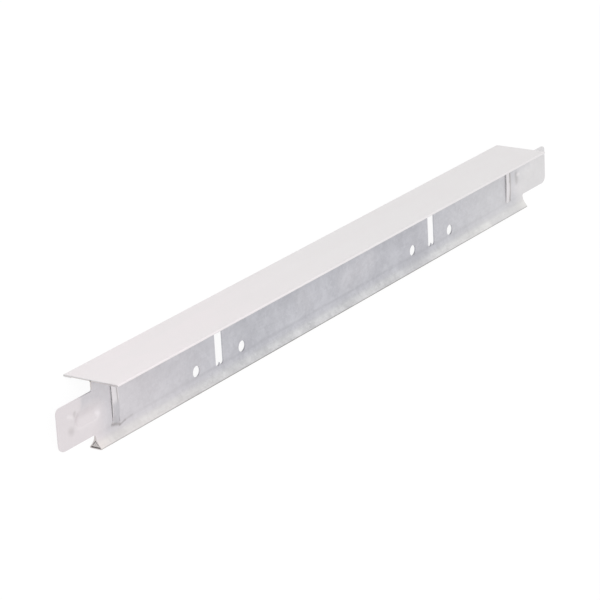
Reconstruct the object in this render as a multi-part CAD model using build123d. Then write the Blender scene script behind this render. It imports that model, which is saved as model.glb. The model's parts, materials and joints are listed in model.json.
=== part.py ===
from build123d import *
from math import asin, atan2, degrees, hypot, sqrt
import os

# A short cross tee of a suspended ceiling grid.
# It is drawn upright: X along the tee, Y across its face, Z up from the bulb to the face.
# At the end it is laid on its side, as it rests on a floor, with the origin under its middle.

# Overall sizes, mm
LENGTH = 300.0
HEIGHT = 26.0
FACE_WIDTH = 24.0

# Sheet thicknesses: the galvanised strip and the painted cap over it
BODY_SHEET = 0.3
CAP_SHEET = 0.3

# Cap: hems folded under the wings, and the room left inside each fold
HEM_WIDTH = 3.2
HEM_FOLD_ROOM = 0.1

# Bulb: a foot that flares out of the double web, with the strip's edges lapped and folded inside it
BULB_WIDTH = 5.2
BULB_SIDE = 0.5
BULB_FLARE_HEIGHT = 2.7
BULB_LAP_HEIGHT = 0.85
BULB_LAP_SHEETS = 2
BULB_LAP_GAP = 0.22
BULB_BLEND_RADIUS = 6.0
BULB_CORNER_RADIUS = 0.4
WING_BEND_RADIUS = 0.5

# Tongues at the two ends
TONGUE_LENGTH = 20.0
TONGUE_BOTTOM = 5.5
TONGUE_BELOW_FACE = 4.2
TONGUE_TOP_RADIUS = 2.0
TONGUE_BOTTOM_RADIUS = 3.0
TONGUE_ROOT_RADIUS = 0.8

# Slots that take the tongues of crossing tees, a little higher and lower than they are
SLOT_FROM_END = 75.0
SLOT_WIDTH = 4.9
SLOT_PLAY = 0.2

# Round holes on each side of a slot
HOLE_DIAMETER = 4.4
HOLE_OFFSET = 14.5
HOLE_HEIGHT = 7.8

# Bead with soft shoulders, pressed along each tongue and into the web behind it
BEAD_INNER_REACH = 5.0
BEAD_OUTER_REACH = 11.5
BEAD_WIDTH = 8.6
BEAD_DEPTH = 1.1

# Straps lanced out of the web near its ends, one from each layer, bowed out and crowned across
STRAP_FROM_END = 12.1
STRAP_WIDTH = 3.5
STRAP_BOTTOM = 5.4
STRAP_BELOW_FACE = 3.8
STRAP_BOW = 0.6
STRAP_CROWN = 0.2
STRAP_SLIT = 0.35

# Heights and thicknesses that follow
WEB_THICKNESS = 2 * BODY_SHEET
WING_TOP = HEIGHT - CAP_SHEET
WING_BOTTOM = WING_TOP - BODY_SHEET
HEM_BOTTOM = WING_BOTTOM - CAP_SHEET
BULB_TOP = BULB_SIDE + BULB_FLARE_HEIGHT
WING_HALF = FACE_WIDTH / 2 - CAP_SHEET - HEM_FOLD_ROOM
CAP_EDGE_RADIUS = (HEIGHT - HEM_BOTTOM) / 2
TONGUE_TOP = HEIGHT - TONGUE_BELOW_FACE
SLOT_BOTTOM = TONGUE_BOTTOM - SLOT_PLAY
SLOT_TOP = TONGUE_TOP + SLOT_PLAY
STRAP_TOP = HEIGHT - STRAP_BELOW_FACE
BEAD_HEIGHT = (TONGUE_BOTTOM + TONGUE_TOP) / 2
BEAD_LENGTH = BEAD_INNER_REACH + BEAD_OUTER_REACH
BEAD_FROM_END = (BEAD_INNER_REACH - BEAD_OUTER_REACH) / 2

# How close two places count as the same when corners are picked
TOLERANCE = 1e-4


def along_tee(section):
    """Extrude a section drawn across the tee over the whole length."""
    return extrude(Plane.YZ.offset(-LENGTH / 2) * section, LENGTH)


def through_web(sketch):
    """Extrude a shape drawn on the web's plane well past both faces of the web."""
    return extrude(Plane.XZ * sketch, FACE_WIDTH / 2, both=True)


def span(low_x, high_x, low_y, high_y):
    """A rectangle from its lowest to its highest corner."""
    return Pos(low_x, low_y) * Rectangle(high_x - low_x, high_y - low_y, align=(Align.MIN, Align.MIN))


def bulb_outline():
    """A foot with upright sides and a flare that narrows up to the web."""
    foot_half = BULB_WIDTH / 2
    neck_half = WEB_THICKNESS / 2
    right_side = [(foot_half, 0), (foot_half, BULB_SIDE), (neck_half, BULB_TOP)]
    left_side = [(-x, z) for x, z in reversed(right_side)]
    return make_face(Polyline(*right_side, *left_side, close=True))


def corners_beside_web(section, upper):
    """The two corners where the web meets the wings, or the two where it meets the bulb."""
    corners = section.vertices().filter_by(lambda v: abs(abs(v.X) - WEB_THICKNESS / 2) < TOLERANCE)
    return corners.filter_by(lambda v: (v.Y > HEIGHT / 2) == upper)


def body_section():
    """Bulb, double web and wings, as the roll-formed strip shows them on a cut end."""
    web = span(-WEB_THICKNESS / 2, WEB_THICKNESS / 2, BULB_SIDE, WING_TOP)
    wings = span(-WING_HALF, WING_HALF, WING_BOTTOM, WING_TOP)
    section = bulb_outline() + web + wings
    section = fillet(corners_beside_web(section, True), WING_BEND_RADIUS)
    section = fillet(corners_beside_web(section, False), BULB_BLEND_RADIUS)
    foot_corners = section.vertices().filter_by(lambda v: abs(v.Y) < TOLERANCE)
    return fillet(foot_corners, BULB_CORNER_RADIUS)


def bend_gap():
    """The V between the two bends, where the layers of the web part and turn into the wings."""
    bend_outside = WING_BEND_RADIUS + BODY_SHEET
    reach = (2 - sqrt(2)) * bend_outside
    return make_face(Polyline((-reach, WING_TOP), (reach, WING_TOP), (0, WING_TOP - reach), close=True))


def under_flare(floor, depth):
    """The triangle from this height up that lies this deep under the bulb's two flared sides."""
    flare_run = (BULB_WIDTH - WEB_THICKNESS) / 2
    flare_side = hypot(flare_run, BULB_FLARE_HEIGHT)
    rise_per_run = BULB_FLARE_HEIGHT / flare_run
    apex = BULB_TOP + (WEB_THICKNESS / 2) * rise_per_run - depth * flare_side / flare_run
    foot_half = (apex - floor) / rise_per_run
    return make_face(Polyline((-foot_half, floor), (foot_half, floor), (0, apex), close=True))


def bulb_hollows():
    """The space under the lap of the strip's edges, and the gap between their fold and the flare."""
    inner_half = BULB_WIDTH / 2 - BODY_SHEET
    lower = span(-inner_half, inner_half, BODY_SHEET, BULB_LAP_HEIGHT) & under_flare(BODY_SHEET, BODY_SHEET)
    lap_top = BULB_LAP_HEIGHT + BULB_LAP_SHEETS * BODY_SHEET
    gap = under_flare(lap_top, BODY_SHEET) - under_flare(lap_top, BODY_SHEET + BULB_LAP_GAP)
    return lower + gap


def tongue(direction):
    """Flat tongue past one end of the web, round at its tip and at the two corners of its root."""
    web_end = LENGTH / 2
    root = web_end - TONGUE_LENGTH / 2
    tip = web_end + TONGUE_LENGTH
    blade = span(root, tip, TONGUE_BOTTOM, TONGUE_TOP)
    blade += span(root, web_end, BULB_TOP, WING_BOTTOM - WING_BEND_RADIUS)
    for height, place, radius in (
        (TONGUE_BOTTOM, web_end, TONGUE_ROOT_RADIUS),
        (TONGUE_TOP, web_end, TONGUE_ROOT_RADIUS),
        (TONGUE_BOTTOM, tip, TONGUE_BOTTOM_RADIUS),
        (TONGUE_TOP, tip, TONGUE_TOP_RADIUS),
    ):
        blade = fillet(blade.vertices().sort_by_distance((place, height, 0))[0], radius)
    plate = extrude(Plane.XZ * blade, WEB_THICKNESS / 2, both=True)
    return plate if direction > 0 else mirror(plate, Plane.YZ)


def slot_cut(centre):
    """Slot with two round lobes at each end, one for each of the tongues that meet in it."""
    lobe = SLOT_WIDTH / 4
    straight = SLOT_TOP - SLOT_BOTTOM - 2 * lobe
    shape = Pos(centre, (SLOT_BOTTOM + SLOT_TOP) / 2) * Rectangle(SLOT_WIDTH, straight)
    for side in (-1, 1):
        for height in (SLOT_BOTTOM + lobe, SLOT_TOP - lobe):
            shape += Pos(centre + side * lobe, height) * Circle(lobe)
    return through_web(shape)


def hole_cut(centre):
    return through_web(Pos(centre, HOLE_HEIGHT) * Circle(HOLE_DIAMETER / 2))


def strap_window(centre):
    """The gap that the two straps leave in the web, a slit wider than they are on each side."""
    window = Rectangle(STRAP_WIDTH + 2 * STRAP_SLIT, STRAP_TOP - STRAP_BOTTOM)
    return through_web(Pos(centre, (STRAP_BOTTOM + STRAP_TOP) / 2) * window)


def strap_section(centre, height, bow, crown):
    """Level section of a strap, one sheet thick."""
    left, right = centre - STRAP_WIDTH / 2, centre + STRAP_WIDTH / 2
    inner = Spline((left, bow), (centre, bow + crown), (right, bow))
    outside = bow + BODY_SHEET
    outer = Spline((right, outside), (centre, outside + crown), (left, outside))
    sides = [Line(inner @ 1, outer @ 0), Line(outer @ 1, inner @ 0)]
    return Plane.XY.offset(height) * make_face(Wire([inner, outer, *sides]))


def strap(centre, side):
    """One layer of the web, pushed outwards between its two flat roots."""
    low, high = STRAP_BOTTOM - BODY_SHEET, STRAP_TOP + BODY_SHEET
    shapes = ((low, 0, 0), ((low + high) / 2, STRAP_BOW, STRAP_CROWN), (high, 0, 0))
    piece = loft([strap_section(centre, *shape) for shape in shapes])
    return piece if side > 0 else mirror(piece, Plane.XZ)


def bead_half_section(root):
    """Section from the bead's middle to one shoulder, level at both, and sunk by the root."""
    shoulder = BEAD_WIDTH / 2
    slope = Spline((0, BEAD_DEPTH), (shoulder, 0), tangents=((1, 0), (1, 0)))
    rest = Polyline((shoulder, 0), (shoulder, -root), (0, -root), (0, BEAD_DEPTH))
    return make_face([slope, *rest.edges()])


def bead_tool():
    """The pressed form: a straight run and two round ends, standing out to the front."""
    run = BEAD_LENGTH - BEAD_WIDTH
    start = Plane(origin=(-run / 2, 0, 0), x_dir=(0, 0, 1), z_dir=(1, 0, 0))
    half = bead_half_section(WEB_THICKNESS / 2)
    tool = extrude(start * half, run)
    tool += mirror(tool, Plane.XY)
    round_end = revolve(start * half, Axis(start.origin, (0, -1, 0)), 180)
    return tool + round_end + mirror(round_end, Plane.YZ)


def bead(centre, pressed):
    """The ridge on the face that the metal is pushed out of, and the groove in the other face."""
    ridge = Pos(centre, -WEB_THICKNESS / 2, BEAD_HEIGHT) * bead_tool()
    groove = Pos(0, WEB_THICKNESS, 0) * ridge
    if pressed > 0:
        return mirror(ridge, Plane.XZ), mirror(groove, Plane.XZ)
    return ridge, groove


def make_body():
    """The galvanised strip: profile, tongues, slots, holes, straps and beads."""
    body = along_tee(body_section() - bulb_hollows() - bend_gap())
    for end in (-1, 1):
        body += tongue(end)
    for end in (-1, 1):
        slot_centre = end * (LENGTH / 2 - SLOT_FROM_END)
        body -= slot_cut(slot_centre)
        for side in (-1, 1):
            body -= hole_cut(slot_centre + side * HOLE_OFFSET)
        strap_centre = end * (LENGTH / 2 - STRAP_FROM_END)
        body -= strap_window(strap_centre)
        for side in (-1, 1):
            body += strap(strap_centre, side)
        ridge, groove = bead(end * (LENGTH / 2 - BEAD_FROM_END), -end)
        body += ridge
        body -= groove
    return body


def make_cap():
    """The painted strip: flat face, folded edges and hems under the wings."""
    outer = Pos(0, (HEM_BOTTOM + HEIGHT) / 2) * SlotOverall(FACE_WIDTH, HEIGHT - HEM_BOTTOM)
    pocket_half = WING_HALF + HEM_FOLD_ROOM
    pocket = span(-pocket_half, pocket_half, WING_BOTTOM, WING_TOP)
    opening_half = FACE_WIDTH / 2 - HEM_WIDTH
    opening = span(-opening_half, opening_half, HEM_BOTTOM, WING_BOTTOM)
    return along_tee(outer - pocket - opening)


def lying_turn():
    """The turn about X that brings the cap's back edge and the bulb's back corner to one floor."""
    across = (FACE_WIDTH - BULB_WIDTH) / 2 - CAP_EDGE_RADIUS + BULB_CORNER_RADIUS
    upwards = HEIGHT - CAP_EDGE_RADIUS - BULB_CORNER_RADIUS
    steeper = asin((CAP_EDGE_RADIUS - BULB_CORNER_RADIUS) / hypot(across, upwards))
    return degrees(atan2(across, upwards) + steeper) - 90


def lay_on_side(pieces):
    """Turn the pieces as one, then set them on the floor with the origin under their middle."""
    turned = [Rot(X=lying_turn()) * piece for piece in pieces]
    box = Compound(turned).bounding_box()
    middle = box.center()
    return [Pos(-middle.X, -middle.Y, -box.min.Z) * piece for piece in turned]


os.makedirs("parts", exist_ok=True)
tee_body, face_cap = lay_on_side([make_body(), make_cap()])
export_step(tee_body, "parts/tee_body.step")
export_step(face_cap, "parts/face_cap.step")
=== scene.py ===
"""The looks of a short ceiling grid tee: finishes, small surface marks, floor, light and camera.

The tee lies on its back side on the floor. Places on it are given in its own frame, in
millimetres: the origin is in the middle of the white face, x runs along the tee, y to its
back and z out of the face. A height is measured from the foot of the web towards the face.
"""

import json
from collections import namedtuple
from math import cos, hypot, radians, sin

import bmesh
import bpy
from mathutils import Matrix, Vector


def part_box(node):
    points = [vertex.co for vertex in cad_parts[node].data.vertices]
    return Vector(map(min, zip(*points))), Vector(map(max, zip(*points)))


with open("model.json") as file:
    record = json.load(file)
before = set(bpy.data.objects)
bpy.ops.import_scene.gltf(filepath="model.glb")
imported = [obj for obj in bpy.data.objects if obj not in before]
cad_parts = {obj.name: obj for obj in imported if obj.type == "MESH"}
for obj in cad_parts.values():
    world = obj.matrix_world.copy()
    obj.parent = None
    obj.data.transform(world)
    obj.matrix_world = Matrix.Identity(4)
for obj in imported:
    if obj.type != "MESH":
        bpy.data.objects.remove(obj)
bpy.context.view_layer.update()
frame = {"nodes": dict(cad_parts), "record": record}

MM = 0.001

# Camera, in the tee's own frame: it stands in front of the tee, above it and past its left end
CAMERA_PLACE = Vector((-859.8, -584.9, 353.0))
CAMERA_TURN = radians(55.12)
CAMERA_RISE = radians(19.69)
CAMERA_ROLL = radians(-3.19)
CAMERA_LENS = 170.5
CAMERA_SENSOR = 36.0

# The nearest and the farthest that the camera sees, in metres
CAMERA_NEAR = 0.02
CAMERA_FAR = 60.0

# Studio, in metres in the row's frame. FLOOR_SEEN and the glow make the floor white to the camera
FLOOR_HALF = 12.0
FLOOR_COLOUR = (0.82, 0.82, 0.82, 1.0)
FLOOR_SEEN = (0.075, 0.075, 0.075, 1.0)
FLOOR_GLOW = 0.94
WORLD_COLOUR = (1.0, 1.0, 1.0, 1.0)
WORLD_LEVEL = 0.81
WORLD_SEEN = 1.0
LAMP_COLOUR = (1.0, 1.0, 1.0)
OVERHEAD_PLACE = Vector((-0.45, -0.35, 1.5))
OVERHEAD_SIZE = 1.0
OVERHEAD_POWER = 2.6
NEAR_PLACE = Vector((-0.38, 0.1, 0.36))
NEAR_SIZE = 0.25
NEAR_POWER = 0.5
SIDE_PLACE = Vector((1.4, 0.8, 0.8))
SIDE_SIZE = 1.6
SIDE_POWER = 3.4
SIDE_COLOUR = (1.0, 0.985, 0.95)

# Sizes of the tee that the finishes follow: the bulb is upright up to BULB_SIDE, and its flare,
# taken straight, meets the neck at BULB_TOP. STRAP_HEIGHTS are the foot and the top of a strap
TEE_HEIGHT = 26.0
BULB_HALF = 2.6
BULB_SIDE = 0.5
BULB_TOP = 3.2
NECK_HALF = 0.3
STRAP_FROM_END = 12.1
STRAP_HALF = 1.75
STRAP_HEIGHTS = (5.4, 22.2)

# White paint, a little warmer towards the left end, with faint clouds drawn out along the tee
PAINT_WARM = (0.815, 0.765, 0.78, 1.0)
PAINT_COOL = (0.805, 0.785, 0.79, 1.0)
PAINT_DEEP = (0.78, 0.75, 0.757, 1.0)
PAINT_CHANGE = (-110.0, 20.0)
PAINT_DETAIL = 2.0
PAINT_CLOUD_SIZE = 9.0
PAINT_CLOUD_STRETCH = (0.25, 1.0, 1.0)
PAINT_CLOUD_RANGE = (0.7, 0.3)
PAINT_CLOUD_SHARE = 0.6
PAINT_SPECK_SIZE = 0.35
PAINT_GLOSS_RANGE = (0.1, 0.5)
PAINT_ROUGHNESS = (0.34, 0.46)
CUT_EDGE_COLOUR = (0.70, 0.70, 0.71, 1.0)
CUT_BAND = 0.03

# Galvanised steel, lighter towards the ends
ZINC_LIGHT = (0.60, 0.60, 0.64, 1.0)
ZINC_DARK = (0.475, 0.475, 0.51, 1.0)
# The next tone is dull zinc in patches, and painted shade up under the wings, on the lower half of the
# left strap and in a darker band where the flare starts
ZINC_DULL_AND_SHADE = (0.38, 0.38, 0.41, 1.0)
# The next tone is painted shade and shadow: along the bulb's foot, along the straps and in small marks
# by the straps and beads
ZINC_PAINTED_SHADE = (0.20, 0.18, 0.17, 1.0)
ZINC_LEFT_END = (0.80, 0.745, 0.757, 1.0)
ZINC_RIGHT_END = (0.765, 0.75, 0.75, 1.0)
# The next tone is painted highlight on the straps, in the beads and in small marks, and the paler tone
# of the straps' cut sides and of light patches
ZINC_PALE_AND_HIGHLIGHT = (0.90, 0.86, 0.87, 1.0)
ZINC_INSIDE = (0.52, 0.49, 0.48, 1.0)
ZINC_CUT = (0.62, 0.58, 0.57, 1.0)
# Near white on the straps' inner faces: painted light that makes the shaded slits beside the straps
# lighter
ZINC_PAINTED_LIGHT_BEHIND_STRAP = (0.97, 0.97, 0.97, 1.0)
ZINC_SMOOTH = 0.34
ZINC_ROUGH = 0.46
ZINC_METAL = 0.9
INSIDE_METAL = 0.15

# Noise that bends the crystals' edges: its scale per millimetre, and how far it can move them
WANDER_SCALE = 0.9
WANDER_SHIFT = (1.5, 1.5, 1.5)

# Crystals, patches and rolling streaks of the zinc, each with its share of the shade
CRYSTAL_SIZE = 1.6
CRYSTAL_SHARE = 0.16
FINE_CRYSTAL_SIZE = 0.6
FINE_CRYSTAL_SHARE = 0.12
PATCH_SIZE = 14.0
PATCH_SHARE = 0.9
PATCH_DETAIL = 4.0
PATCH_ROUGHNESS = 0.6
STREAK_SIZE = 0.5
STREAK_SHARE = 0.2
STREAK_STRETCH = (0.06, 1.0, 1.0)
ZINC_DETAIL = 3.0
SHADE_RANGE = (0.35, 1.05)

# Depths of the fine relief, in metres, and the size of the paint's orange peel
PEEL_SIZE = 0.9
PEEL_RELIEF = 0.000012
CRYSTAL_RELIEF = 0.000004
STREAK_RELIEF = 0.000008

# Lighter zinc at the ends: how far in from the end it starts and is full, and the same in height,
# which keeps it out of the shade by the wings. Past the end, on the tongue, the last pair takes it up to
# the top
END_FADE = (100.0, 10.0)
END_FADE_SHARE = 0.4
END_PALE_FADE = (18.0, -2.0)
END_PALE_SHARE = 0.8
END_PALE_HEIGHTS = (25.0, 14.0)
END_PALE_TONGUE = (-3.0, -8.0)

# Painted highlight in a bead: its line, from the end and in height, and how far from it the highlight
# starts to fade and is gone
BEAD_HIGHLIGHT_LINE = ((0.7, 12.7), (-8.0, 12.7))
BEAD_HIGHLIGHT_REACH = (0.8, 3.2)
BEAD_HIGHLIGHT_SHARE = 0.38

# Heights at which the painted shade under the wings, the tint on the flare and the painted shade of the
# foot line start and are full
HEM_SHADE = (10.0, 20.0)
HEM_SHADE_SHARE = 0.22
FLANGE_SHADE = (18.5, 24.5)
FLANGE_SHADE_SHARE = 0.45
FLARE_TINT = (0.995, 1.0, 0.955, 1.0)
FLARE_HEIGHTS = (4.4, 1.6)
FOOT_LINE = (0.62, 0.45)

# The foot line's share at the ends, and its full share from FOOT_LINE_FADE's second place inwards
FOOT_LINE_FADE = (0.0, 90.0)
FOOT_LINE_END_SHARE = 0.35
FOOT_LINE_SHARE = 0.7

# Darker band where the flare starts: its height, and how far it reaches up and down
FLARE_START_BAND = (5.4, 1.1)
FLARE_START_BAND_SHARE = 0.28

# Straps: heights at which the painted highlight on the left one starts and is full, the share of painted
# shade below it, and a painted shadow line along both, with its place beside the middle and how far it
# reaches to each side
STRAP_HIGHLIGHT = (12.0, 15.0)
STRAP_HIGHLIGHT_SHARE = 0.45
STRAP_SHADE_SHARE = 0.3
STRAP_SHADOW = (0.8, 0.75)
STRAP_SHADOW_SHARE = 0.45

# How inner faces and cut faces are told from the others, by place in millimetres and by how far
# a face is turned
INNER_DEPTH = (0.20, 0.28)
CUT_REACH = 0.05
CUT_TURN = (0.8, 0.95)
STRAP_INSIDE = (-0.1, -0.02)

# Marks on the front of the web: x and height of both ends, how far each reaches, and its share
# Painted shade and shadow, in small dark marks
PAINTED_SHADE_MARKS = (
    # Painted shade at the foot of the left strap, and along the crease beside it
    ((-140.5, 5.7), (-136.3, 4.6), 1.0, 0.45),
    ((-139.0, 8.0), (-138.2, 6.0), 1.3, 0.1),
    ((-136.4, 4.2), (-133.0, 4.9), 0.6, 0.42),
    ((-133.0, 4.9), (-128.5, 5.3), 0.6, 0.18),
    # Painted shade in spots on the left tongue, at the outer end of its bead
    ((-160.3, 17.3), (-160.8, 16.6), 1.4, 0.22),
    ((-162.5, 11.2), (-163.2, 11.6), 2.4, 0.2),
    # Painted shadow line along the right strap
    ((139.4, 19.0), (139.3, 6.5), 0.9, 0.45),
    ((138.5, 17.8), (138.1, 14.6), 0.8, 0.35),
    ((138.1, 14.6), (138.9, 7.0), 0.8, 0.2),
    # Painted shade at the inner end of the right bead
    ((144.9, 16.0), (145.3, 12.2), 1.9, 0.3),
)
DULL_MARKS = (
    # Patches between the ends
    ((-110.0, 16.5), (-105.0, 12.5), 7.0, 0.15),
    ((-60.0, 16.0), (-52.0, 10.0), 7.0, 0.2),
    ((53.0, 3.5), (68.0, 3.5), 8.0, 0.35),
    ((64.0, 16.0), (60.0, 10.0), 6.0, 0.25),
    # Foot of the right end
    ((122.0, 0.5), (152.0, 0.5), 4.0, 0.35),
)
# Lighter patches, and painted highlights
PALE_AND_HIGHLIGHT_MARKS = (
    # Patches between the ends
    ((-21.0, 14.5), (-17.0, 11.5), 7.0, 0.08),
    ((11.0, 11.0), (28.0, 13.0), 9.0, 0.11),
    # Painted highlight beside the upper spot on the left tongue
    ((-164.0, 17.2), (-161.5, 16.2), 1.3, 0.4),
    # Lighter beside the right strap, and a painted highlight by the inner end of the right bead
    ((141.5, 11.0), (147.0, 9.0), 5.0, 0.2),
    ((145.9, 15.4), (147.0, 15.6), 1.1, 0.4),
)

# Where a surface point lies: its place, the parts of it, and how far it is in from the nearer end
Spot = namedtuple("Spot", "place x y height from_end")


def tee_frame(record):
    """The tee's own frame in the row's, from the mount on its white face."""
    mount = next(m for m in record["mounts"] if m["name"] == "ceiling_face")
    out_of_face = Vector(mount["axis"]).normalized()
    along = Vector((1, 0, 0))
    to_back = out_of_face.cross(along)
    turned = Matrix((along, to_back, out_of_face)).transposed().to_4x4()
    return Matrix.Translation(Vector(mount["pos_m"])) @ turned


TEE = tee_frame(frame["record"])
HALF_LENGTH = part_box("face_cap")[1].x / MM


class Tree:
    """Short calls that add nodes to one node tree."""

    def __init__(self, tree):
        tree.nodes.clear()
        self.nodes = tree.nodes
        self.links = tree.links

    def feed(self, socket, value):
        """Link a socket to the input, or set the input to a value."""
        if isinstance(value, bpy.types.NodeSocket):
            self.links.new(value, socket)
        else:
            socket.default_value = value

    def node(self, kind, inputs=None, **settings):
        """A node of this kind, with its settings made and its inputs fed by name."""
        made = self.nodes.new(kind)
        for name, value in settings.items():
            setattr(made, name, value)
        for name, value in (inputs or {}).items():
            self.feed(made.inputs[name], value)
        return made

    def math(self, operation, *values):
        """The result of one operation on these values, in their order."""
        made = self.node("ShaderNodeMath", operation=operation)
        for socket, value in zip(made.inputs, values):
            self.feed(socket, value)
        return made.outputs[0]

    def vector(self, operation, *values):
        """A vector node of this kind, with its inputs fed in order."""
        made = self.node("ShaderNodeVectorMath", operation=operation)
        for socket, value in zip(made.inputs, values):
            self.feed(socket, value)
        return made

    def step(self, value, low, high, result_low=0.0, result_high=1.0):
        """A smooth change from one result to another as the value goes from low to high."""
        inputs = {
            "Value": value,
            "From Min": low,
            "From Max": high,
            "To Min": result_low,
            "To Max": result_high,
        }
        made = self.node("ShaderNodeMapRange", inputs, interpolation_type="SMOOTHSTEP")
        return made.outputs["Result"]

    def noise(self, vector, grain, detail, roughness=0.5):
        """Noise whose lumps are about as wide as the grain, in millimetres."""
        made = self.node(
            "ShaderNodeTexNoise",
            {"Vector": vector, "Scale": 1 / grain, "Detail": detail, "Roughness": roughness},
        )
        return made.outputs["Fac"]

    def cells(self, vector, size):
        """A random grey for each crystal, in cells about as wide as the size."""
        made = self.node("ShaderNodeTexVoronoi", {"Vector": vector, "Scale": 1 / size})
        split = self.node("ShaderNodeSeparateColor", {"Color": made.outputs["Color"]})
        return split.outputs["Red"]

    def mix(self, share, first, second, blend="MIX"):
        """The first colour, with this share of the second blended into it."""
        made = self.node("ShaderNodeMix", data_type="RGBA", blend_type=blend)
        for name, value in (("Factor_Float", share), ("A_Color", first), ("B_Color", second)):
            socket = next(s for s in made.inputs if s.identifier == name)
            self.feed(socket, value)
        return next(s for s in made.outputs if s.identifier == "Result_Color")

    def bump(self, height, depth, normal=None):
        """A bump of this depth in metres for a height from 0 to 1."""
        inputs = {"Height": height, "Distance": depth}
        if normal is not None:
            inputs["Normal"] = normal
        return self.node("ShaderNodeBump", inputs).outputs["Normal"]

    def surface(self, colour, roughness, metal, normal):
        """The shader of the material, from what is fed to it, as its output."""
        shader = self.node(
            "ShaderNodeBsdfPrincipled",
            {"Base Color": colour, "Roughness": roughness, "Metallic": metal, "Normal": normal},
        )
        self.node("ShaderNodeOutputMaterial", {"Surface": shader.outputs["BSDF"]})


def new_material(name):
    """A new material and its empty node tree."""
    material = bpy.data.materials.new(name)
    material.use_nodes = True
    return material, Tree(material.node_tree)


def surface_spot(tree):
    """Where each point lies in the tee's own frame, in millimetres."""
    mapping = tree.node(
        "ShaderNodeMapping",
        {
            "Vector": tree.node("ShaderNodeTexCoord").outputs["Object"],
            "Location": TEE.to_translation(),
            "Rotation": TEE.to_euler(),
            "Scale": (MM, MM, MM),
        },
        vector_type="TEXTURE",
    )
    place = mapping.outputs["Vector"]
    x, y, z = tree.node("ShaderNodeSeparateXYZ", {"Vector": place}).outputs
    height = tree.math("ADD", z, TEE_HEIGHT)
    from_end = tree.math("SUBTRACT", HALF_LENGTH, tree.math("ABSOLUTE", x))
    return Spot(place, x, y, height, from_end)


def surface_normal(tree):
    """The way each face looks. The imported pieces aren't turned, so it is in the row's frame."""
    return tree.node("ShaderNodeTexCoord").outputs["Normal"]


def white_paint():
    """Smooth factory paint with a faint orange peel, and bare steel on the cut ends."""
    material, tree = new_material("white_paint_finish")
    spot = surface_spot(tree)
    clouded = tree.vector("MULTIPLY", spot.place, PAINT_CLOUD_STRETCH).outputs["Vector"]
    clouds = tree.noise(clouded, PAINT_CLOUD_SIZE, PAINT_DETAIL)
    specks = tree.noise(spot.place, PAINT_SPECK_SIZE, PAINT_DETAIL)
    peel = tree.noise(spot.place, PEEL_SIZE, PAINT_DETAIL)
    colour = tree.mix(tree.step(spot.x, *PAINT_CHANGE), PAINT_WARM, PAINT_COOL)
    colour = tree.mix(tree.step(clouds, *PAINT_CLOUD_RANGE, 0, PAINT_CLOUD_SHARE), colour, PAINT_DEEP)
    cut = tree.step(tree.math("ABSOLUTE", spot.x), HALF_LENGTH - CUT_BAND, HALF_LENGTH - CUT_BAND / 2)
    colour = tree.mix(cut, colour, CUT_EDGE_COLOUR)
    roughness = tree.step(tree.math("MULTIPLY", clouds, specks), *PAINT_GLOSS_RANGE, *PAINT_ROUGHNESS)
    tree.surface(colour, roughness, cut, tree.bump(peel, PEEL_RELIEF))
    return material


def zinc_grain(tree, spot):
    """The crystals, the rolling streaks, and the shade that they make with the cloudy patches."""
    wander = tree.node(
        "ShaderNodeTexNoise",
        {"Vector": spot.place, "Scale": WANDER_SCALE, "Detail": ZINC_DETAIL},
    )
    shifted = tree.vector("MULTIPLY_ADD", wander.outputs["Color"], WANDER_SHIFT, spot.place)
    crystals = tree.cells(shifted.outputs["Vector"], CRYSTAL_SIZE)
    fine_crystals = tree.cells(shifted.outputs["Vector"], FINE_CRYSTAL_SIZE)
    patches = tree.noise(spot.place, PATCH_SIZE, PATCH_DETAIL, PATCH_ROUGHNESS)
    drawn_out = tree.vector("MULTIPLY", spot.place, STREAK_STRETCH).outputs["Vector"]
    streaks = tree.noise(drawn_out, STREAK_SIZE, ZINC_DETAIL)
    shade = 0.0
    for value, share in (
        (crystals, CRYSTAL_SHARE),
        (fine_crystals, FINE_CRYSTAL_SHARE),
        (patches, PATCH_SHARE),
        (streaks, STREAK_SHARE),
    ):
        shade = tree.math("MULTIPLY_ADD", value, share, shade)
    return crystals, streaks, shade


def peak(tree, value, centre, half, share=1.0):
    """The share at one value, which falls to 0 this far on each side."""
    away = tree.math("ABSOLUTE", tree.math("SUBTRACT", value, centre))
    return tree.step(away, 0, half, share, 0)


def from_line(tree, x, height, start, end):
    """How far a place on the web is from a straight line between two others."""
    run = end[0] - start[0]
    rise = end[1] - start[1]
    length = hypot(run, rise)
    x = tree.math("SUBTRACT", x, start[0])
    height = tree.math("SUBTRACT", height, start[1])
    along = tree.math("MULTIPLY_ADD", x, run / length, tree.math("MULTIPLY", height, rise / length))
    aside = tree.math("MULTIPLY_ADD", x, rise / length, tree.math("MULTIPLY", height, -run / length))
    past = tree.math("MAXIMUM", tree.math("SUBTRACT", along, length), tree.math("MULTIPLY", along, -1.0))
    past = tree.math("MAXIMUM", past, 0.0)
    squares = tree.math("MULTIPLY_ADD", past, past, tree.math("MULTIPLY", aside, aside))
    return tree.math("SQRT", squares)


def wing_shade_and_band_share(tree, height):
    """Painted shade up under the wings, and a darker band along the line where the flare of the bulb
    starts.
    """
    shade_and_dull = tree.step(height, *HEM_SHADE, 0, HEM_SHADE_SHARE)
    shade_and_dull = tree.math("MAXIMUM", shade_and_dull, tree.step(height, *FLANGE_SHADE, 0, FLANGE_SHADE_SHARE))
    return tree.math("MAXIMUM", shade_and_dull, peak(tree, height, *FLARE_START_BAND, FLARE_START_BAND_SHARE))


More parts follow.
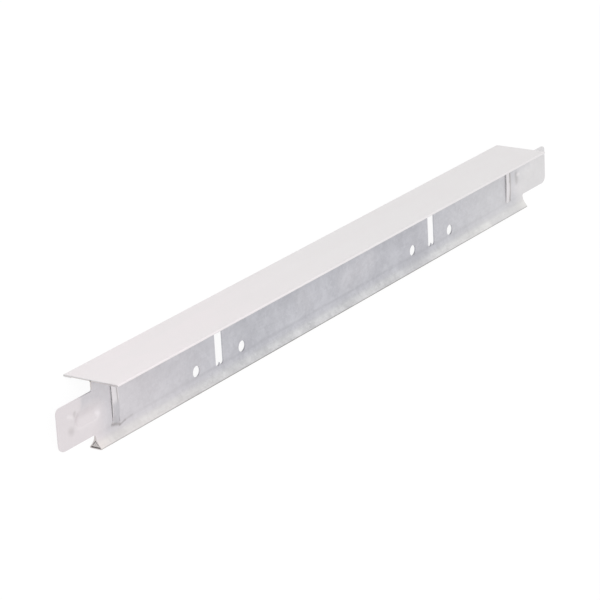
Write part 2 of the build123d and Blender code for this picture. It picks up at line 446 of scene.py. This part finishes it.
def end_share(tree, spot):
    """How far the zinc turns lighter towards the ends, less so up by the wings where shade falls."""
    broad = tree.step(spot.from_end, *END_FADE, 0, END_FADE_SHARE)
    pale_near_end = tree.step(spot.from_end, *END_PALE_FADE, 0, END_PALE_SHARE)
    low = tree.step(spot.height, *END_PALE_HEIGHTS)
    part = tree.math("MAXIMUM", low, tree.step(spot.from_end, *END_PALE_TONGUE))
    return tree.math("MAXIMUM", broad, tree.math("MULTIPLY", pale_near_end, part))


def bead_highlight(tree, spot):
    """Painted highlight in the sunk side of each bead: the front at the left end, the back at the right.
    """
    sunk = tree.math("GREATER_THAN", tree.math("MULTIPLY", spot.x, spot.y), 0.0)
    away = from_line(tree, spot.from_end, spot.height, *BEAD_HIGHLIGHT_LINE)
    return tree.math("MULTIPLY", sunk, tree.step(away, *BEAD_HIGHLIGHT_REACH, BEAD_HIGHLIGHT_SHARE, 0))


def zinc_colour(tree, spot, shade):
    """Plain zinc, with painted shade by the wings, tinted on the flare, lighter at the ends, and a
    painted highlight in the beads.
    """
    colour = tree.mix(tree.step(shade, *SHADE_RANGE), ZINC_DARK, ZINC_LIGHT)
    colour = tree.mix(wing_shade_and_band_share(tree, spot.height), colour, ZINC_DULL_AND_SHADE)
    end_tone = tree.mix(tree.math("GREATER_THAN", spot.x, 0.0), ZINC_LEFT_END, ZINC_RIGHT_END)
    colour = tree.mix(end_share(tree, spot), colour, end_tone)
    colour = tree.mix(tree.step(spot.height, *FLARE_HEIGHTS), colour, FLARE_TINT, "MULTIPLY")
    return tree.mix(bead_highlight(tree, spot), colour, ZINC_PALE_AND_HIGHLIGHT)


def on_strap(tree, spot, half=STRAP_HALF):
    """1 over a strap and its two roots, and 0 beside it."""
    away = tree.math("ABSOLUTE", tree.math("SUBTRACT", spot.from_end, STRAP_FROM_END))
    across = tree.math("LESS_THAN", away, half)
    foot, top = STRAP_HEIGHTS
    above_foot = tree.math("GREATER_THAN", spot.height, foot)
    up = tree.math("MULTIPLY", above_foot, tree.math("LESS_THAN", spot.height, top))
    return tree.math("MULTIPLY", across, up)


def strap_light_and_shade(tree, colour, spot):
    """Painted highlight on the straps, with a painted shadow line along them. The left one has painted
    shade in its lower half.
    """
    strap = on_strap(tree, spot)
    right_end = tree.math("GREATER_THAN", spot.x, 0.0)
    highlit = tree.math("MAXIMUM", tree.step(spot.height, *STRAP_HIGHLIGHT), right_end)
    highlit = tree.math("MULTIPLY", highlit, strap)
    colour = tree.mix(tree.math("MULTIPLY", highlit, STRAP_HIGHLIGHT_SHARE), colour, ZINC_PALE_AND_HIGHLIGHT)
    shade_and_dull = tree.math("SUBTRACT", strap, highlit)
    colour = tree.mix(tree.math("MULTIPLY", shade_and_dull, STRAP_SHADE_SHARE), colour, ZINC_DULL_AND_SHADE)
    # Painted shadow line beside the middle of each strap
    aside = tree.math("SUBTRACT", spot.from_end, STRAP_FROM_END)
    aside = tree.math("MULTIPLY", aside, tree.math("MULTIPLY", tree.math("SIGN", spot.x), -1.0))
    line = peak(tree, aside, *STRAP_SHADOW, STRAP_SHADOW_SHARE)
    return tree.mix(tree.math("MULTIPLY", line, highlit), colour, ZINC_PAINTED_SHADE)


def add_marks(tree, colour, spot, marks, tone):
    """Small soft marks of one tone on the front of the web."""
    front = tree.math("LESS_THAN", spot.y, 0.0)
    for start, end, reach, share in marks:
        away = from_line(tree, spot.x, spot.height, start, end)
        mark = tree.math("MULTIPLY", front, tree.step(away, 0, reach, share, 0))
        colour = tree.mix(mark, colour, tone)
    return colour


def foot_shade_line(tree, colour, spot):
    """Painted shade along the lower edge of the bulb's sides, fainter towards the ends of the tee."""
    low = tree.step(spot.height, *FOOT_LINE)
    share = tree.step(spot.from_end, *FOOT_LINE_FADE, FOOT_LINE_END_SHARE, FOOT_LINE_SHARE)
    return tree.mix(tree.math("MULTIPLY", low, share), colour, ZINC_PAINTED_SHADE)


def behind_strap(tree, spot):
    """1 on the sides of the straps that look towards the middle of the web."""
    turned = tree.vector("DOT_PRODUCT", surface_normal(tree), TEE.col[1].to_3d()).outputs["Value"]
    inwards = tree.step(tree.math("MULTIPLY", turned, spot.y), *STRAP_INSIDE, 1, 0)
    return tree.math("MULTIPLY", inwards, on_strap(tree, spot))


def facing_end(tree):
    """1 on faces that look along the tee and 0 on those that look across it."""
    split = tree.node("ShaderNodeSeparateXYZ", {"Vector": surface_normal(tree)})
    return tree.step(tree.math("ABSOLUTE", split.outputs["X"]), *CUT_TURN)


def inside_bulb(tree, spot):
    """1 on the inner sides of the hollow bulb and 0 on its outside."""
    across = tree.math("ABSOLUTE", spot.y)
    run = BULB_HALF - NECK_HALF
    rise = BULB_TOP - BULB_SIDE
    slant = hypot(run, rise)
    reach = (BULB_HALF * rise + BULB_SIDE * run) / slant
    up = tree.math("MULTIPLY", spot.height, run / slant)
    along = tree.math("MULTIPLY_ADD", across, rise / slant, up)
    below_flare = tree.math("SUBTRACT", reach, along)
    behind_side = tree.math("SUBTRACT", BULB_HALF, across)
    depth = tree.math("MINIMUM", below_flare, tree.math("MINIMUM", behind_side, spot.height))
    return tree.step(depth, *INNER_DEPTH)


def inner_and_cut_faces(tree, colour, spot):
    """Tones of the inner and cut faces, with painted light on the straps' inner faces, and a share that
    is 1 where the finish is less metallic.
    """
    behind = behind_strap(tree, spot)
    colour = tree.mix(behind, colour, ZINC_PAINTED_LIGHT_BEHIND_STRAP)
    facing = facing_end(tree)
    cut_end = tree.math("MULTIPLY", facing, peak(tree, spot.from_end, 0.0, CUT_REACH))
    colour = tree.mix(cut_end, colour, ZINC_CUT)
    strap_side = tree.math("MULTIPLY", facing, on_strap(tree, spot, STRAP_HALF + CUT_REACH))
    colour = tree.mix(strap_side, colour, ZINC_PALE_AND_HIGHLIGHT)
    in_bulb = inside_bulb(tree, spot)
    colour = tree.mix(in_bulb, colour, ZINC_INSIDE)
    inner = tree.math("MAXIMUM", tree.math("MAXIMUM", behind, strap_side), in_bulb)
    return colour, inner


def galvanised():
    """Zinc coat: small soft crystals, cloudy patches, fine streaks along the tee, and small marks of
    painted shade, painted highlight, and duller and paler zinc.
    """
    material, tree = new_material("galvanised_finish")
    spot = surface_spot(tree)
    crystals, streaks, shade = zinc_grain(tree, spot)
    colour = zinc_colour(tree, spot, shade)
    colour = strap_light_and_shade(tree, colour, spot)
    colour = add_marks(tree, colour, spot, DULL_MARKS, ZINC_DULL_AND_SHADE)
    colour = add_marks(tree, colour, spot, PAINTED_SHADE_MARKS, ZINC_PAINTED_SHADE)
    colour = add_marks(tree, colour, spot, PALE_AND_HIGHLIGHT_MARKS, ZINC_PALE_AND_HIGHLIGHT)
    colour = foot_shade_line(tree, colour, spot)
    colour, inner = inner_and_cut_faces(tree, colour, spot)
    roughness = tree.step(shade, *SHADE_RANGE, ZINC_ROUGH, ZINC_SMOOTH)
    metal = tree.math("MULTIPLY_ADD", inner, INSIDE_METAL - ZINC_METAL, ZINC_METAL)
    relief = tree.bump(crystals, CRYSTAL_RELIEF)
    relief = tree.bump(streaks, STREAK_RELIEF, relief)
    tree.surface(colour, roughness, metal, relief)
    return material


def seen_straight(tree):
    """1 for rays from the camera, and for rays that metal or glass mirrors or lets through."""
    path = tree.node("ShaderNodeLightPath")
    seen = tree.math("MAXIMUM", path.outputs["Is Camera Ray"], path.outputs["Is Glossy Ray"])
    return tree.math("MAXIMUM", seen, path.outputs["Is Transmission Ray"])


def floor_material():
    """Pale floor that looks white and keeps a soft shadow."""
    material, tree = new_material("floor_finish")
    seen = seen_straight(tree)
    matt = tree.node("ShaderNodeBsdfDiffuse", {"Color": tree.mix(seen, FLOOR_COLOUR, FLOOR_SEEN)})
    glow = tree.node("ShaderNodeEmission", {"Strength": tree.math("MULTIPLY", seen, FLOOR_GLOW)})
    both = tree.node("ShaderNodeAddShader")
    tree.feed(both.inputs[0], matt.outputs[0])
    tree.feed(both.inputs[1], glow.outputs[0])
    tree.node("ShaderNodeOutputMaterial", {"Surface": both.outputs[0]})
    return material


def make_floor():
    mesh = bpy.data.meshes.new("floor")
    shape = bmesh.new()
    bmesh.ops.create_grid(shape, x_segments=1, y_segments=1, size=FLOOR_HALF)
    shape.to_mesh(mesh)
    shape.free()
    floor = bpy.data.objects.new("floor", mesh)
    bpy.context.scene.collection.objects.link(floor)
    mesh.materials.append(floor_material())


def make_world():
    """White surround that the camera and the metal see, a little weaker as light."""
    world = bpy.data.worlds.new("studio")
    world.use_nodes = True
    tree = Tree(world.node_tree)
    level = tree.math("MULTIPLY_ADD", seen_straight(tree), WORLD_SEEN - WORLD_LEVEL, WORLD_LEVEL)
    sky = tree.node("ShaderNodeBackground", {"Color": WORLD_COLOUR, "Strength": level})
    tree.node("ShaderNodeOutputWorld", {"Surface": sky.outputs[0]})
    bpy.context.scene.world = world


def soft_lamp(name, place, size, power, colour=LAMP_COLOUR):
    """A square lamp that faces the row's origin, which is on the floor under the tee."""
    light = bpy.data.lights.new(name, "AREA")
    light.size = size
    light.energy = power
    light.color = colour
    lamp = bpy.data.objects.new(name, light)
    lamp.location = place
    lamp.rotation_mode = "QUATERNION"
    lamp.rotation_quaternion = (-place).to_track_quat("-Z", "Y")
    lamp.visible_camera = False
    bpy.context.scene.collection.objects.link(lamp)


def camera_axes():
    """Right, up and back of the camera in the tee's own frame."""
    turn = -CAMERA_TURN
    back = Vector((sin(turn) * cos(CAMERA_RISE), -cos(turn) * cos(CAMERA_RISE), sin(CAMERA_RISE)))
    right = Vector((cos(turn), sin(turn), 0))
    up = back.cross(right)
    level = Matrix((right, up, back)).transposed()
    return level @ Matrix.Rotation(CAMERA_ROLL, 3, "Z")


def make_camera():
    data = bpy.data.cameras.new("camera")
    data.lens = CAMERA_LENS
    data.sensor_width = CAMERA_SENSOR
    data.clip_start = CAMERA_NEAR
    data.clip_end = CAMERA_FAR
    camera = bpy.data.objects.new("camera", data)
    own = Matrix.Translation(CAMERA_PLACE * MM) @ camera_axes().to_4x4()
    camera.matrix_world = TEE @ own
    bpy.context.scene.collection.objects.link(camera)
    bpy.context.scene.camera = camera


def dress_nodes():
    """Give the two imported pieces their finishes."""
    finishes = {"tee_body": galvanised(), "face_cap": white_paint()}
    for name, finish in finishes.items():
        node = frame["nodes"][name]
        for material_slot in node.material_slots:
            material_slot.material = finish


dress_nodes()
make_floor()
make_world()
soft_lamp("overhead", OVERHEAD_PLACE, OVERHEAD_SIZE, OVERHEAD_POWER)
soft_lamp("near_end", NEAR_PLACE, NEAR_SIZE, NEAR_POWER)
soft_lamp("side", SIDE_PLACE, SIDE_SIZE, SIDE_POWER, SIDE_COLOUR)
make_camera()
bpy.context.scene.view_settings.view_transform = "Standard"
